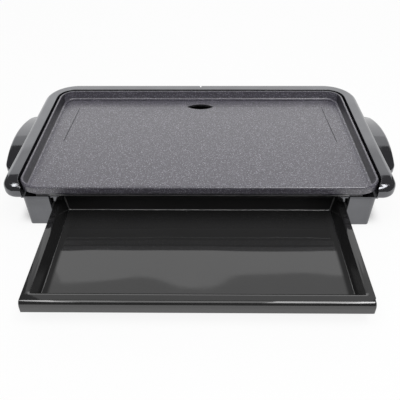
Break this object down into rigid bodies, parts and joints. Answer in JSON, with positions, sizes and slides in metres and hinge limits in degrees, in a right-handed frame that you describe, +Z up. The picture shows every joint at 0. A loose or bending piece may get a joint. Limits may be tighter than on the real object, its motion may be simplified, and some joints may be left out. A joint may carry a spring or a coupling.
{
  "type": "electric griddle",
  "caption": "Low electric griddle: a rimmed non-stick plate lifts off a railed base with side wing handles, over a slide-out warming drawer and a rear grease tray.",
  "frame": {"origin": "on the table, under the middle of the whole part with its drawer pulled out as pictured", "axes": "+X to the right seen from the drawer's side, +Y away from the drawer, +Z up"},
  "size_m": [0.6104, 0.493, 0.0735],
  "materials": {
    "frame_plastic": "glossy black, faint moulding waviness",
    "drawer_plastic": "satin black moulding with a mirror-like floor",
    "stone_coating": "speckled stone-look non-stick coating on die-cast aluminium",
    "steel_sheet": "zinc-plated sheet steel",
    "screw_steel": "zinc-plated",
    "tube_steel": "heat-tinted steel sheath",
    "pin_metal": "nickel-plated",
    "sleeve_metal": "plain drawn",
    "ceramic": "unglazed white ceramic",
    "foot_rubber": "matt black",
    "pad_rubber": "matt dark grey silicone",
    "tray_plastic": "matt black heat-proof plastic"
  },
  "bodies": {
    "base": {"base_frame": "frame_plastic", "front_crossbar": "steel_sheet", "crossbar_screws": "screw_steel", "handle_left": "frame_plastic", "handle_right": "frame_plastic", "handle_screws": "screw_steel", "runner_left": "tray_plastic", "runner_right": "tray_plastic", "runner_screws": "screw_steel", "foot_front_left": "foot_rubber", "foot_front_right": "foot_rubber", "foot_rear_left": "foot_rubber", "foot_rear_right": "foot_rubber", "plate_pads": "pad_rubber", "grease_holder": "tray_plastic", "holder_screws": "screw_steel"},
    "plate": {"griddle_plate": "stone_coating", "heating_element": "tube_steel", "element_clips": "steel_sheet", "clip_screws": "screw_steel", "terminal_guard": "steel_sheet", "guard_screws": "screw_steel", "terminal_insulators": "ceramic", "contact_pins": "pin_metal", "probe_sleeve": "sleeve_metal"},
    "drawer": {"drawer": "drawer_plastic"},
    "grease": {"grease_tray": "tray_plastic"}
  },
  "joints": [
    {"name": "plate_lift", "type": "slide", "parent": "base", "child": "plate", "axis": [0, 0, 1], "range_m": [0, 0.12]},
    {"name": "drawer_slide", "type": "slide", "parent": "base", "child": "drawer", "axis": [0, 1, 0], "range_m": [0, 0.1727]},
    {"name": "grease_slide", "type": "slide", "parent": "base", "child": "grease", "axis": [0, 1, 0], "range_m": [0, 0.05]}
  ]
}
